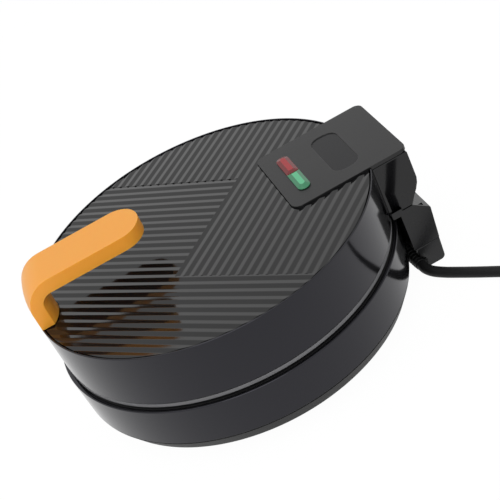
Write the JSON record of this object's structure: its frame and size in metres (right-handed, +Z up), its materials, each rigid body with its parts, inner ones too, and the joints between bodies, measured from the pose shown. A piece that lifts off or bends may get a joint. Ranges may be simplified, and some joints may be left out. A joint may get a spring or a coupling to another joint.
{
  "type": "cake pop maker",
  "caption": "Round countertop cooker with a hinged lid, half-round wells in both baking plates and a bent tongue handle over the lid.",
  "frame": {"origin": "middle of the footprint without the cord, on the surface the feet stand on", "axes": "+Z up, +Y from the handle towards the hinge, +X towards the side the cord leaves"},
  "size_m": [0.2398, 0.4899, 0.1134],
  "materials": {
    "black_plastic": "gloss",
    "ribbed_grey_plastic": "gloss",
    "satin_grey_plastic": "satin",
    "orange_plastic": "satin",
    "coated_aluminium": "satin non-stick coating",
    "steel": "satin",
    "rubber": "matte",
    "ceramic": "matte",
    "brass": "satin",
    "red_lens": "gloss, translucent",
    "green_lens": "gloss, translucent",
    "lamp_glass": "gloss"
  },
  "bodies": {
    "base": {"lower_plate": "coated_aluminium", "lower_heating_element": "steel", "lower_reflector": "steel", "lower_element_clamp_1": "steel", "lower_element_clamp_2": "steel", "lower_plate_screw_1": "steel", "lower_plate_screw_2": "steel", "lower_plate_screw_3": "steel", "base_shell": "black_plastic", "bottom_cover": "black_plastic", "base_hinge_housing": "black_plastic", "rear_housing_cover": "black_plastic", "thermostat": "ceramic", "thermal_fuse": "ceramic", "terminal_block": "ceramic", "mains_lead": "rubber", "hinge_feed_lead": "rubber", "bottom_cover_screw_1": "steel", "bottom_cover_screw_2": "steel", "bottom_cover_screw_3": "steel", "housing_screw_1": "steel", "housing_screw_2": "steel", "hinge_pin_1": "steel", "hinge_pin_2": "steel", "rubber_foot_1": "rubber", "rubber_foot_2": "rubber", "rubber_foot_3": "rubber", "rubber_foot_4": "rubber", "cord_strain_relief": "rubber", "power_cord": "rubber", "cord_coil": "rubber", "cord_tail": "rubber", "cord_tie": "rubber", "plug_body": "rubber", "plug_pin_1": "brass", "plug_pin_2": "brass"},
    "lid": {"upper_plate": "coated_aluminium", "upper_heating_element": "steel", "upper_reflector": "steel", "upper_element_clamp_1": "steel", "upper_element_clamp_2": "steel", "upper_plate_screw_1": "steel", "upper_plate_screw_2": "steel", "upper_plate_screw_3": "steel", "lid_shell": "black_plastic", "lid_hinge_block": "black_plastic", "ribbed_panel": "ribbed_grey_plastic", "bridge_plate": "satin_grey_plastic", "red_lens": "red_lens", "green_lens": "green_lens", "red_lamp": "lamp_glass", "green_lamp": "lamp_glass", "lamp_tray": "ceramic", "lid_lead": "rubber", "handle": "orange_plastic", "handle_screw_1": "steel", "handle_screw_2": "steel", "panel_screw_1": "steel", "panel_screw_2": "steel", "panel_screw_3": "steel"}
  },
  "joints": [
    {"name": "lid_hinge", "type": "hinge", "parent": "base", "child": "lid", "pos_m": [0, 0.1072, 0.0603], "axis": [-1, 0, 0], "range_deg": [0, 105]}
  ]
}
